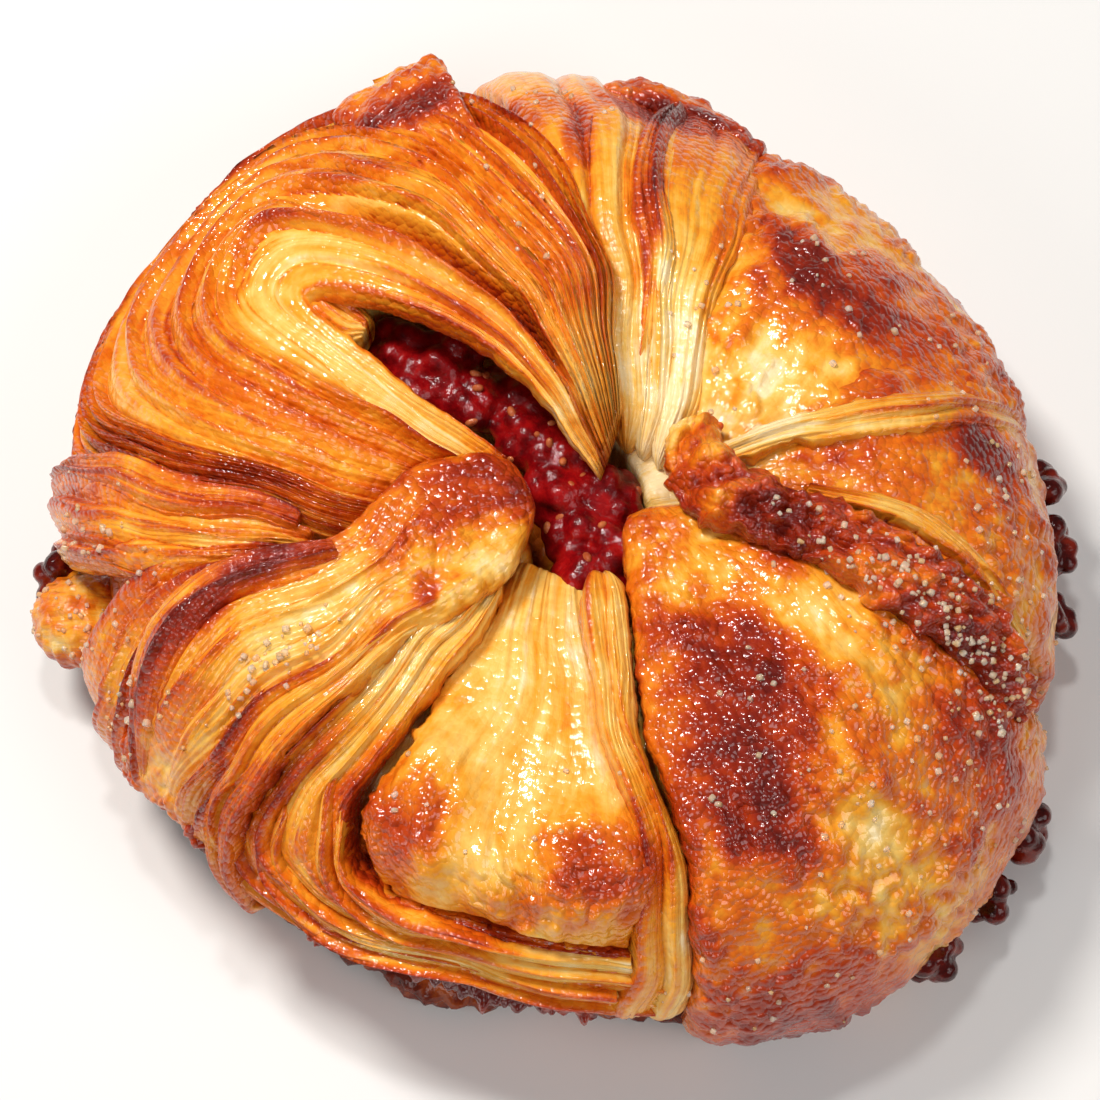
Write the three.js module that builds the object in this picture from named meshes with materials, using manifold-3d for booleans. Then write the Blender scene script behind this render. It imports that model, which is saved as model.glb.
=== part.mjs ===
// A kouign amann: a round bun of laminated dough whose folds overlap like the
// blades of a fan round a slot of raspberry filling. It stands on the disc of
// caramel that set under it, with jam that leaked and burnt round its side.
// Units are millimetres, +Z is up, and the origin is under the middle of the
// whole, on the surface that it stands on.
import * as THREE from "three";
import { mergeVertices } from "three/addons/utils/BufferGeometryUtils.js";
import Module from "manifold-3d";

const wasm = await Module();
wasm.setup();
const { Manifold, Mesh } = wasm;

// ---- Driving dimensions ----
const DOUGH_RADIUS = 46;
const DOUGH_TOP = 31;
const BASE_THICKNESS = 3;
// The gap left between neighbours.
const GAP = 0.3;
const DOUGH_FOOT = BASE_THICKNESS + GAP;
// How far the plain bun under the folds lies below the skin.
const CORE_INSET = 1.5;
const SLOT_FLOOR = 12;
const SLOT_HALF_WIDTH = 4.6;
const FILLING_TOP = 27;
// A distance past the whole, for solids that cut right through.
const BEYOND = 90;
// How far a large and a small solid's faces may be off when they are thinned out.
const COARSE = 0.5;
const FINE = 0.22;

const lerp = (a, b, t) => a + (b - a) * t;
const radians = THREE.MathUtils.degToRad;
const polar = (degrees, distance) => [
  distance * Math.cos(radians(degrees)),
  distance * Math.sin(radians(degrees)),
];

// ---- The bun's skin ----
// Its profile from the middle of the top, over the shoulder and down to the foot.
const skinProfile = new THREE.SplineCurve([
  new THREE.Vector2(0, DOUGH_TOP - 2),
  new THREE.Vector2(0.33 * DOUGH_RADIUS, DOUGH_TOP),
  new THREE.Vector2(0.66 * DOUGH_RADIUS, DOUGH_TOP - 1),
  new THREE.Vector2(0.87 * DOUGH_RADIUS, DOUGH_TOP - 7),
  new THREE.Vector2(DOUGH_RADIUS, DOUGH_TOP - 17),
  new THREE.Vector2(0.965 * DOUGH_RADIUS, DOUGH_FOOT - 1),
]);
skinProfile.arcLengthDivisions = 400;
const SKIN_LENGTH = skinProfile.getLength();

// The outline isn't round: each swell is [direction in degrees, width in degrees, share].
const OUTLINE_SWELLS = [
  [-42, 32, 0.075],
  [-118, 40, -0.075],
  [112, 60, 0.065],
];

function outlineShare(angle) {
  return OUTLINE_SWELLS.reduce((sum, [direction, width, share]) => {
    const away = angle - radians(direction);
    const turned = Math.atan2(Math.sin(away), Math.cos(away));
    return sum + share * Math.exp(-((turned / radians(width)) ** 2));
  }, 1);
}

// The point over the skin whose distance along the skin from the middle, in its
// direction, is that of the flat point (x, y), lifted along the skin's normal.
function onSkin(x, y, lift) {
  const angle = Math.atan2(y, x);
  const share = THREE.MathUtils.clamp(Math.hypot(x, y) / SKIN_LENGTH, 0, 1);
  const point = skinProfile.getPointAt(share);
  const along = skinProfile.getTangentAt(share);
  const radius = Math.max(0, point.x - along.y * lift);
  const swell = lerp(1, outlineShare(angle), Math.min(1, share * 1.4));
  return [
    radius * swell * Math.cos(angle),
    radius * swell * Math.sin(angle),
    point.y + along.x * lift,
  ];
}

// ---- Meshes and solids ----
function solidFrom(points, triangles) {
  const make = (index) =>
    new Manifold(
      new Mesh({
        numProp: 3,
        vertProperties: new Float32Array(points.flat()),
        triVerts: new Uint32Array(index.flat()),
      }),
    );
  const solid = make(triangles);
  return solid.volume() < 0 ? make(triangles.map(([a, b, c]) => [a, c, b])) : solid;
}

function solidFromGeometry(geometry) {
  const bare = geometry.clone();
  bare.deleteAttribute("normal");
  bare.deleteAttribute("uv");
  const merged = mergeVertices(bare, 1e-4);
  return new Manifold(
    new Mesh({
      numProp: 3,
      vertProperties: merged.attributes.position.array,
      triVerts: new Uint32Array(merged.index.array),
    }),
  );
}

function geometryOf(solid) {
  const mesh = solid.getMesh();
  const geometry = new THREE.BufferGeometry();
  geometry.setAttribute("position", new THREE.BufferAttribute(mesh.vertProperties, 3));
  geometry.setIndex(new THREE.BufferAttribute(mesh.triVerts, 1));
  geometry.computeVertexNormals();
  return geometry;
}

// The solid without the slivers that cutting it left beside it.
const largestOf = (solid) =>
  solid.decompose().reduce((best, part) => (part.volume() > best.volume() ? part : best));

// The solid grown by the gap on every side, by joining copies moved each way.
function swollen(solid) {
  const ways = [0, 60, 120, 180, 240, 300].map((way) => [...polar(way, GAP), 0]);
  return [[0, 0, GAP], [0, 0, -GAP], ...ways].reduce(
    (sum, way) => sum.add(solid.translate(way)),
    solid,
  );
}

// A closed slab round the surface place(u, v) = [x, y, lift]: thick in the middle
// and drawn to a round edge at v = 0 and v = 1.
function slab({ place, thickness, along = 8, across = 6, edge = 3 }) {
  const points = [];
  const triangles = [];
  const ring = 2 * across;
  for (let i = 0; i <= along; i++) {
    for (let j = 0; j < ring; j++) {
      const top = j <= across;
      const v = 0.5 - 0.5 * Math.cos((Math.PI * (top ? j : ring - j)) / across);
      const half = thickness * (1 - Math.abs(2 * v - 1) ** edge) ** (1 / edge);
      const [x, y, lift] = place(i / along, v);
      points.push(onSkin(x, y, lift + (top ? half : -half)));
    }
  }
  const at = (i, j) => i * ring + (j % ring);
  for (let i = 0; i < along; i++) {
    for (let j = 0; j < ring; j++) {
      triangles.push([at(i, j), at(i, j + 1), at(i + 1, j + 1)]);
      triangles.push([at(i, j), at(i + 1, j + 1), at(i + 1, j)]);
    }
  }
  for (const [i, turn] of [[0, 1], [along, 0]]) {
    for (let j = 0; j < across; j++) {
      const quad = [at(i, j), at(i, j + 1), at(i, ring - j - 1), at(i, (ring - j) % ring)];
      const faces = j === 0
        ? [[quad[0], quad[1], quad[2]]]
        : j === across - 1
          ? [[quad[0], quad[1], quad[3]]]
          : [[quad[0], quad[1], quad[2]], [quad[0], quad[2], quad[3]]];
      triangles.push(...faces.map(([a, b, c]) => (turn ? [a, c, b] : [a, b, c])));
    }
  }
  return solidFrom(points, triangles);
}

// A smooth line through a few points, each a list of numbers.
function through(knots, t) {
  const spans = knots.length - 1;
  const span = Math.min(spans - 1, Math.floor(t * spans));
  const f = t * spans - span;
  const knot = (k) => knots[THREE.MathUtils.clamp(span + k, 0, spans)];
  return knots[0].map((_, axis) => {
    const [a, b, c, d] = [-1, 0, 1, 2].map((k) => knot(k)[axis]);
    return (
      b + 0.5 * f * (c - a + f * (2 * a - 5 * b + 4 * c - d + f * (3 * (b - c) + d - a)))
    );
  });
}

// ---- Folds ----
// A fan fold: its strands run from the line between two root points out to the
// skin between two directions. bow bends each side strand sideways, and lift
// holds [at the root, halfway, at the end] for each side.
function fan({ root, rim, reach = SKIN_LENGTH, bow, lift }) {
  return (u, v) => {
    const start = [0, 1].map((k) => lerp(root[0][k], root[1][k], v));
    const end = polar(lerp(rim[0], rim[1], v), reach);
    const bend = lerp(bow[0], bow[1], v);
    const run = [end[0] - start[0], end[1] - start[1]];
    const length = Math.hypot(...run);
    const side = 4 * u * (1 - u) * bend;
    const height = through([0, 1, 2].map((k) => [lerp(lift[0][k], lift[1][k], v)]), u)[0];
    return [
      start[0] + run[0] * u - (run[1] / length) * side,
      start[1] + run[1] * u + (run[0] / length) * side,
      height,
    ];
  };
}

// A ribbon fold: its strands lie between two lines of [x, y, lift].
function ribbon({ lines }) {
  return (u, v) => {
    const [first, last] = lines.map((line) => through(line, u));
    return first.map((value, axis) => lerp(value, last[axis], v));
  };
}

const FANS = {
  top_flap: {
    root: [[-5, 24], [-1, 24]],
    rim: [119, 104],
    reach: 47,
    bow: [-1, 0],
    lift: [[-1, 4, 6.5], [-1, 5, 9]],
    thickness: 1.6,
  },
  top_pleat_left: {
    root: [[5, 8], [7.5, 6]],
    rim: [104, 87],
    bow: [-3, -2],
    lift: [[-2, 3, 3], [-2, 1, 2]],
    thickness: 2.5,
  },
  top_pleat_middle: {
    root: [[7, 7], [9.5, 5.5]],
    rim: [90, 78],
    bow: [-1.5, -1],
    lift: [[-2, 1.5, 2], [-2, 1.5, 2.5]],
    thickness: 2.2,
  },
  top_pleat_right: {
    root: [[9, 6.5], [12, 4.5]],
    rim: [80, 63],
    bow: [0, 1],
    lift: [[-2, 2, 3], [-2, 0.5, 1]],
    thickness: 2.4,
  },
  top_right_leaf: {
    root: [[11.5, 5], [16, 2]],
    rim: [66, 19],
    bow: [1.5, -3],
    lift: [[-3, 0, 0.5], [-3, 1, 1.5]],
    thickness: 2.6,
  },
  right_leaf: {
    root: [[15, 5], [18, -2]],
    rim: [22, -16],
    bow: [3, 1],
    lift: [[-1, 1.5, 1.5], [-1, 2, 1]],
    thickness: 2.6,
  },
  lower_right_leaf: {
    root: [[7.3, 0.5], [14.5, 2]],
    rim: [-73, -19],
    bow: [-2.5, -1.5],
    lift: [[1, 2.5, 1], [0, 1.5, 1]],
    thickness: 3.2,
  },
  left_leaf: {
    root: [[-18, 3], [-20, -4]],
    rim: [172, 188],
    bow: [2, -1.5],
    lift: [[0, 2, 2.5], [0, 1, 1]],
    thickness: 2.4,
  },
};

const RIBBONS = {
  narrow_strip: {
    lines: [
      [[3.2, -7, 2], [4.2, -20, 2], [6.8, -32, 2], [7, -42, 1], [5, -54, 0]],
      [[7.6, -6.5, 2], [8.6, -20, 1], [10.5, -32, 1], [13, -42, 1], [15, -54, 0]],
    ],
    thickness: 2,
  },
  pale_tongue: {
    lines: [
      [[-3, -4, -3], [-7.5, -14, -1.5], [-13, -24, -0.5], [-18.5, -32, 1.5], [-17, -41, 1]],
      [[4, -6.5, -3], [6, -18, -2], [7.5, -28, 0], [8.5, -36, 1.5], [7, -43, 1]],
    ],
    thickness: 2.5,
  },
  hooked_layers: {
    lines: [
      [[-4, -8, 0], [-15, -25.5, 0.5], [-20.5, -35, 1], [-8, -42, 1], [9, -42, -1]],
      [[-6, -4, -1], [-27, -23, -1], [-40, -38, -0.5], [-16, -53, 0.5], [11, -54, -0.5]],
    ],
    thickness: 2.4,
    along: 12,
  },
  lower_left_leaf: {
    lines: [
      [[-4, 6.3, 2.5], [-15, 2, 3], [-26, -6, 3], [-40, -14, 2], [-52, -24, 1.5]],
      [[-1.6, -5.5, 3], [-10, -13, 3], [-22, -21.5, 2], [-33, -30, 1], [-42, -39, -0.5]],
    ],
    thickness: 2.8,
  },
};

// The swirl: strands nested like hairpins round one bend. Each strand bends at its
// own distance from the bend's middle, with one leg ending at the fan's waist and
// the other diving under the lower left leaf. An anchor is [place, drift]: it is
// where the strand of no distance passes, and how far that moves per millimetre.
// Strands wider than `even` lie closer together where they turn by the rim.
const SWIRL = {
  bend: [-23, 19.5],
  turns: [95, 135, 172, 208],
  upperLeg: [
    [[5, 3], [0.03, 0.14]],
    [[-3, 11.4], [0.2, 0.32]],
    [[-13, 16.4], [0.13, 0.65]],
  ],
  lowerLeg: [
    [[-14.8, 11.2], [-0.8, -0.27]],
    [[-4.2, 5.6], [-0.5, -0.28]],
  ],
  tightest: 0.8,
  widest: 45,
  even: 22,
  crowding: 0.42,
  lift: [1, 3, 3, 2.5, 1, 0.5, 1.5, 1, -1],
  inward: 1.5,
  thickness: 2.4,
  ridges: 4,
  ridgeDepth: 0.9,
};

function swirl(shape) {
  return (u, v) => {
    const distance = lerp(shape.tightest, shape.widest, v);
    const even = Math.min(distance, shape.even);
    const crowded = even + shape.crowding * (distance - even);
    const leg = (anchors, drifted) => anchors.map(([place, drift]) =>
      place.map((value, axis) => value + drift[axis] * drifted));
    const turn = shape.turns.map((direction) =>
      polar(direction, crowded).map((value, axis) => value + shape.bend[axis]));
    const knots = [...leg(shape.upperLeg, distance), ...turn, ...leg(shape.lowerLeg, crowded)];
    const ridge = shape.ridgeDepth * Math.cos(2 * Math.PI * shape.ridges * v);
    const raise = shape.inward * (1 - v) + ridge * Math.sin(Math.PI * u);
    return through(knots.map((knot, k) => [...knot, shape.lift[k] + raise]), u);
  };
}

// A band whose strands run along the rim between two directions, from the
// shoulder at its inner side down to the foot at its outer one.
function wrap({ from, to, inner, outer, lift }) {
  return (u, v) => {
    const direction = lerp(from, to, u);
    const distance = lerp(lerp(inner[0], inner[1], u), lerp(outer[0], outer[1], u), v);
    return [...polar(direction, distance), lerp(lift[0], lift[1], u)];
  };
}

const RIM_BAND = {
  from: -150,
  to: -80,
  inner: [46, 42],
  outer: [55, 54],
  lift: [-0.5, 0],
  thickness: 2,
};

// A roll of dough: a round fold along a line of [x, y, lift], thick in the middle.
function roll({ line, width }) {
  return (u, v) => {
    const [x, y, lift] = through(line, u);
    const [x1, y1] = through(line, Math.min(1, u + 0.01));
    const [x0, y0] = through(line, Math.max(0, u - 0.01));
    const length = Math.hypot(x1 - x0, y1 - y0);
    const aside = (v - 0.5) * width * (0.45 + 0.55 * Math.sin(Math.PI * u) ** 0.7);
    return [x - ((y1 - y0) / length) * aside, y + ((x1 - x0) / length) * aside, lift];
  };
}

const ROLLS = {
  burnt_ridge: {
    line: [[13.4, 8.5, 1.5], [16, 0.5, 4.2], [26, -5, 5], [36, -10.5, 4.8], [43, -17.5, 3]],
    width: 7.5,
    thickness: 2.2,
  },
  left_roll: {
    line: [[-20.5, -5, 4], [-31, -9.2, 4.6], [-41, -19, 2.5], [-46, -27, 0.5]],
    width: 4.6,
    thickness: 1.9,
  },
  left_curl: {
    line: [[-24, -1.5, 2], [-33, 1, 3], [-42, 5.2, 3.5], [-53, 10, 3]],
    width: 4.2,
    thickness: 1.6,
  },
  hairpin_heart: {
    line: [[-27, 21.5, 0.5], [-22.5, 20, 1.2], [-18, 17.2, 0]],
    width: 5.5,
    thickness: 2,
  },
  right_edge: {
    line: [[15, 4.5, 1], [23.5, 7.6, 2.5], [33, 9.8, 3], [42, 12.3, 3], [52, 16, 2]],
    width: 4.2,
    thickness: 1.4,
  },
};

// A small lump of dough that squeezed out of the side.
const NUB = { place: [-48, -4, 10], size: [5, 4.6, 4.4] };

// ---- Core ----
// The plain bun under the folds, down to its flat foot.
function core(around = 32, rings = 8) {
  const points = [onSkin(0, 0, -CORE_INSET)];
  const triangles = [];
  for (let i = 1; i <= rings; i++) {
    for (let j = 0; j < around; j++) {
      const [x, y] = polar((360 * j) / around, (SKIN_LENGTH * i) / rings);
      points.push(onSkin(x, y, -CORE_INSET));
    }
  }
  points.push([0, 0, points.at(-1)[2]]);
  const at = (i, j) => 1 + (i - 1) * around + (j % around);
  const bottom = points.length - 1;
  for (let j = 0; j < around; j++) {
    triangles.push([0, at(1, j), at(1, j + 1)], [bottom, at(rings, j + 1), at(rings, j)]);
    for (let i = 1; i < rings; i++) {
      triangles.push([at(i, j), at(i + 1, j), at(i + 1, j + 1)]);
      triangles.push([at(i, j), at(i + 1, j + 1), at(i, j + 1)]);
    }
  }
  return solidFrom(points, triangles);
}

// A lump of little round knobs, such as a berry of drupelets: an ellipsoid whose
// surface swells where it is near one of the knobs spread over it.
function knobbly(place, size, { knobs = 14, depth = 0.16, detail = 3 } = {}) {
  const geometry = new THREE.IcosahedronGeometry(1, detail);
  const position = geometry.getAttribute("position");
  const golden = Math.PI * (3 - Math.sqrt(5));
  const centres = Array.from({ length: knobs }, (_, k) => {
    const height = 1 - (2 * (k + 0.5)) / knobs;
    const girth = Math.sqrt(1 - height * height);
    const turn = k * golden + place[0];
    return new THREE.Vector3(girth * Math.cos(turn), girth * Math.sin(turn), height);
  });
  const reach = 2.4 / Math.sqrt(knobs);
  const p = new THREE.Vector3();
  for (let k = 0; k < position.count; k++) {
    p.fromBufferAttribute(position, k).normalize();
    const nearest = Math.min(...centres.map((centre) => centre.distanceTo(p)));
    p.multiplyScalar(1 - depth * Math.min(1, nearest / reach) ** 2);
    position.setXYZ(k, ...[p.x, p.y, p.z].map((value, axis) => place[axis] + size[axis] * value));
  }
  return solidFromGeometry(geometry);
}

// ---- Filling ----
// The slot's middle line, from its narrow end by the swirl to the pale tongue.
const SLOT_LINE = [
  [-17.2, 16.8],
  [-12.5, 15.1],
  [-7, 13.2],
  [-2, 9.5],
  [1.8, 4],
  [3.4, -1.5],
  [3.2, -6.5],
];

function slotOutline(widen, steps = 14) {
  const sides = [-1, 1].map((side) =>
    Array.from({ length: steps + 1 }, (_, k) => {
      const t = k / steps;
      const [x, y] = through(SLOT_LINE, t);
      const [x1, y1] = through(SLOT_LINE, Math.min(1, t + 0.01));
      const [x0, y0] = through(SLOT_LINE, Math.max(0, t - 0.01));
      const length = Math.hypot(x1 - x0, y1 - y0);
      const round = Math.min(1, 3.2 * t + 0.25) * Math.sqrt(Math.min(1, 6 * (1 - t) + 0.12));
      const half = side * (SLOT_HALF_WIDTH * round + widen);
      return new THREE.Vector2(x - ((y1 - y0) / length) * half, y + ((x1 - x0) / length) * half);
    }));
  return new THREE.Shape([...sides[0], ...sides[1].reverse()]);
}

function slotPrism(widen, floor, top) {
  const geometry = new THREE.ExtrudeGeometry(slotOutline(widen), {
    depth: top - floor,
    bevelEnabled: false,
  });
  return solidFromGeometry(geometry.translate(0, 0, floor));
}

function filling() {
  const lumps = Array.from({ length: 9 }, (_, k) => {
    const [x, y] = through(SLOT_LINE, (k + 0.7) / 9);
    const aside = k % 2 ? 1.3 : -1.3;
    const rise = FILLING_TOP - 2.5 + (k % 3) * 0.5;
    return knobbly([x + aside, y + aside, rise], [3.9, 3.7, 3.9], { knobs: 16, detail: 2 });
  });
  const body = slotPrism(0, SLOT_FLOOR + GAP, FILLING_TOP - 1.5);
  const pile = lumps.reduce((sum, lump) => sum.add(lump), body);
  return pile.intersect(slotPrism(0, SLOT_FLOOR + GAP, BEYOND)).simplify(FINE);
}

// ---- Dough ----
const box = (low, high) => {
  const size = high.map((value, axis) => value - low[axis]);
  const middle = high.map((value, axis) => (value + low[axis]) / 2);
  return solidFromGeometry(new THREE.BoxGeometry(...size).translate(...middle));
};

function dough() {
  const folds = [
    ...Object.values(FANS).map((shape) => slab({ ...shape, place: fan(shape) })),
    ...Object.values(RIBBONS).map((shape) => slab({ ...shape, place: ribbon(shape) })),
    slab({ ...SWIRL, place: swirl(SWIRL), along: 20, across: 20 }),
    slab({ ...RIM_BAND, place: wrap(RIM_BAND), along: 9, across: 5 }),
    ...Object.values(ROLLS).map((shape) =>
      slab({ ...shape, place: roll(shape), along: 9, across: 4, edge: 2 })),
  ];
  const nub = knobbly(NUB.place, NUB.size, { knobs: 10, depth: 0.1, detail: 1 });
  const whole = folds.reduce((sum, fold) => sum.add(fold), core()).add(nub);
  const under = box([-BEYOND, -BEYOND, -BEYOND], [BEYOND, BEYOND, DOUGH_FOOT]);
  const slot = slotPrism(GAP, SLOT_FLOOR, BEYOND);
  return largestOf(whole.subtract(under).simplify(COARSE).subtract(slot));
}

// ---- Caramel base ----
// A flat disc whose lumpy rim stands out past the dough's foot. Each step of the
// rim's profile is [how far out, share of the thickness], and each set of lumps is
// [how many round the rim, how far they stand out].
const BASE_RADIUS = DOUGH_RADIUS - 0.6;
const BASE_RIM = [[-1, 0], [0, 0.3], [0, 0.7], [-1.2, 1]];
const BASE_LUMPS = [[7, 0.45], [17, 0.4], [29, 0.35]];

function caramelBase(around = 60) {
  const points = [[0, 0, 0], [0, 0, BASE_THICKNESS]];
  const triangles = [];
  for (let j = 0; j < around; j++) {
    const angle = (2 * Math.PI * j) / around;
    const lump = BASE_LUMPS.reduce(
      (sum, [count, depth]) => sum + depth * Math.sin(count * angle + count),
      0,
    );
    const radius = (BASE_RADIUS + lump) * outlineShare(angle);
    for (const [inset, rise] of BASE_RIM) {
      points.push([...polar((360 * j) / around, radius + inset), rise * BASE_THICKNESS]);
    }
  }
  const at = (j, k) => 2 + (j % around) * BASE_RIM.length + k;
  for (let j = 0; j < around; j++) {
    triangles.push([0, at(j + 1, 0), at(j, 0)], [1, at(j, 3), at(j + 1, 3)]);
    for (let k = 0; k < BASE_RIM.length - 1; k++) {
      triangles.push([at(j, k), at(j + 1, k), at(j + 1, k + 1)]);
      triangles.push([at(j, k), at(j + 1, k + 1), at(j, k + 1)]);
    }
  }
  return solidFrom(points, triangles);
}

// ---- Leaked jam ----
// Each leak is a burnt lump as large as a berry, stuck to the dough's side.
const LEAKS = {
  leak_right_upper: [[[50.8, 10.6, 10], [2.2, 2.1, 2.2]]],
  leak_right_middle: [[[51.3, 3, 10], [2.4, 3.4, 3.4]], [[51.2, 5.6, 9], [1.8, 1.9, 2]]],
  leak_right_lower: [[[51.3, -3.4, 9], [2.2, 2.1, 2.2]]],
  leak_lower_right_upper: [[[47.3, -25, 7], [2.6, 3, 3]]],
  leak_lower_right_middle: [[[43.6, -31.6, 6.6], [2.7, 2.8, 2.6]]],
  leak_lower_right_lower: [[[37.6, -38.2, 6.4], [3, 2.4, 2.4]]],
  leak_left: [[[-50.5, 0.8, 9], [3, 3.2, 3.2]], [[-51.5, -2.4, 7], [2, 2.6, 2.6]]],
};

function leaks(walls) {
  return Object.entries(LEAKS).map(([name, lumps]) => {
    const whole = lumps
      .map(([place, size]) => knobbly(place, size, { knobs: 12, depth: 0.2, detail: 1 }))
      .reduce((sum, lump) => sum.add(lump));
    return [name, largestOf(whole.subtract(walls)).simplify(FINE)];
  });
}

// ---- The whole ----
function piece(name, solid, { color, roughness }) {
  const material = new THREE.MeshStandardMaterial({ color, roughness, metalness: 0 });
  const mesh = new THREE.Mesh(geometryOf(solid), material);
  mesh.name = name;
  return mesh;
}

const BAKED = { color: 0xd98a2b, roughness: 0.3 };
const JAM = { color: 0x7d0a12, roughness: 0.15 };
const CARAMEL = { color: 0x4a1a08, roughness: 0.25 };
const BURNT_JAM = { color: 0x2a0806, roughness: 0.2 };

const pastry = dough();
const base = caramelBase();
const kouignAmann = new THREE.Group();
kouignAmann.add(piece("dough", pastry, BAKED));
kouignAmann.add(piece("filling", filling(), JAM));
kouignAmann.add(piece("caramel_base", base, CARAMEL));
for (const [name, solid] of leaks(swollen(pastry).add(swollen(base)))) {
  kouignAmann.add(piece(name, solid, BURNT_JAM));
}

// The origin goes under the middle of the whole.
const bounds = new THREE.Box3().setFromObject(kouignAmann, true);
const middle = bounds.getCenter(new THREE.Vector3());
kouignAmann.position.set(-middle.x, -middle.y, -bounds.min.z);

export default kouignAmann;
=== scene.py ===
"""The looks of a kouign amann: a glazed round of laminated dough, folded like a fan
round a slot of raspberry filling, with sugar crystals and burnt caramel at its foot.

Every fold is a slab that follows the bun's skin. A fold's shape is a function
place(u, v) that gives x, y and the lift over the skin: u runs along its strands and
v runs across them, both from 0 to 1. Shapes are worked out in millimetres from the
bun's own axis, and mesh() turns them into metres in the model's frame. A point's
browning runs from 0, unbaked, to 1, burnt."""
import math

import bmesh
import bpy
import numpy as np
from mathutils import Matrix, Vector

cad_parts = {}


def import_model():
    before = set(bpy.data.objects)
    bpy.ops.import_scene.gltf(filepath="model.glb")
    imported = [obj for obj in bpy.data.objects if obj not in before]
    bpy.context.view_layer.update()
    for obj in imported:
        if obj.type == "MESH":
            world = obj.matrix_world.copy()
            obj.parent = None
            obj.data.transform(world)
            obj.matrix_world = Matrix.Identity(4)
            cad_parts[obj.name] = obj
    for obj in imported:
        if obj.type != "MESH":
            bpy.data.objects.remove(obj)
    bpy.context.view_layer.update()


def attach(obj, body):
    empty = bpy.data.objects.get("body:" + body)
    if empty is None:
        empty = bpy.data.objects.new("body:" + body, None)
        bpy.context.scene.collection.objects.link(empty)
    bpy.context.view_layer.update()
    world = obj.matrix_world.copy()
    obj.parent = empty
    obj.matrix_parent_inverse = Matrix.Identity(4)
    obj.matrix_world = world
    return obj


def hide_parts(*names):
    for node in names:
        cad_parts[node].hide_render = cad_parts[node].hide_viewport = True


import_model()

MM = 0.001
# Where the bun's own axis stands in the model's frame.
BUN_AXIS = (-0.02 * MM, -3.22 * MM)
DOUGH_RADIUS = 46.0
DOUGH_TOP = 31.0
DOUGH_FOOT = 3.3
BASE_THICKNESS = 3.0


# ---- Numbers that vary over a surface ----
def lerp(a, b, t):
    return a + (b - a) * t


def smooth(low, high, x):
    """0 below low, 1 above high, and a smooth step between."""
    t = np.clip((x - low) / (high - low), 0, 1)
    return t * t * (3 - 2 * t)


def hashed(ix, iy, seed):
    """A number from 0 to 1 for each pair of whole numbers."""
    n = ix.astype(np.int64) * 374761393 + iy.astype(np.int64) * 668265263 + seed * 974711
    n = (n ^ (n >> 13)) * 1274126177
    n = n ^ (n >> 16)
    return (n & 0xFFFFFF) / 0xFFFFFF


def noise(x, y, seed=0):
    """Smooth noise from 0 to 1 with features of size 1."""
    x, y = np.broadcast_arrays(np.asarray(x, float), np.asarray(y, float))
    ix, iy = np.floor(x), np.floor(y)
    fx, fy = x - ix, y - iy
    fx, fy = fx * fx * (3 - 2 * fx), fy * fy * (3 - 2 * fy)
    low = lerp(hashed(ix, iy, seed), hashed(ix + 1, iy, seed), fx)
    high = lerp(hashed(ix, iy + 1, seed), hashed(ix + 1, iy + 1, seed), fx)
    return lerp(low, high, fy)


def fractal(x, y, seed=0, octaves=4):
    """Noise from 0 to 1 with ever finer detail."""
    total = sum(0.5**k * noise(x * 2**k, y * 2**k, seed + k) for k in range(octaves))
    return total / (2 - 0.5 ** (octaves - 1))


def cells(x, y, seed=0):
    """Distance to the nearest of scattered points, about one in each unit square."""
    ix, iy = np.floor(x), np.floor(y)
    nearest = np.full(np.shape(x), 9.0)
    for dx in (-1, 0, 1):
        for dy in (-1, 0, 1):
            px = ix + dx + hashed(ix + dx, iy + dy, seed)
            py = iy + dy + hashed(ix + dx, iy + dy, seed + 1)
            nearest = np.minimum(nearest, np.hypot(px - x, py - y))
    return nearest


def domes(x, y, size, seed, reach=0.75):
    """Round bumps from 0 to 1, about one in each square of the given size."""
    return 1 - np.clip(cells(x / size, y / size, seed) / reach, 0, 1) ** 2


def through(knots, t):
    """A smooth line through knots, whose first index counts them, at each t."""
    knots = np.asarray(knots, float)
    spans = len(knots) - 1
    span = np.minimum(spans - 1, np.floor(np.asarray(t) * spans).astype(int))
    f = (np.asarray(t) * spans - span).reshape(np.shape(t) + (1,) * (knots.ndim - 1))
    a, b, c, d = (knots[np.clip(span + k, 0, spans)] for k in (-1, 0, 1, 2))
    return b + 0.5 * f * (c - a + f * (2 * a - 5 * b + 4 * c - d + f * (3 * (b - c) + d - a)))


def rounded(knots, count, rounds=260):
    """Evenly spaced points on lines through knots, with their corners worn round.
    The knots' first index counts them and their second one counts the lines."""
    steps = np.linalg.norm(np.diff(knots, axis=0), axis=-1)
    run = np.concatenate([np.zeros((1, steps.shape[1])), np.cumsum(steps, axis=0)])
    even = np.linspace(0, 1, count)
    line = np.empty((count, *knots.shape[1:]))
    for k in range(knots.shape[1]):
        for axis in range(knots.shape[2]):
            line[:, k, axis] = np.interp(even, run[:, k] / run[-1, k], knots[:, k, axis])
    for _ in range(rounds):
        line[1:-1] = 0.25 * (line[:-2] + 2 * line[1:-1] + line[2:])
    return line


def polar(degrees, distance):
    """x and y of the point that lies in a direction at a distance."""
    angle = np.radians(degrees)
    return np.array([distance * np.cos(angle), distance * np.sin(angle)])


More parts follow.
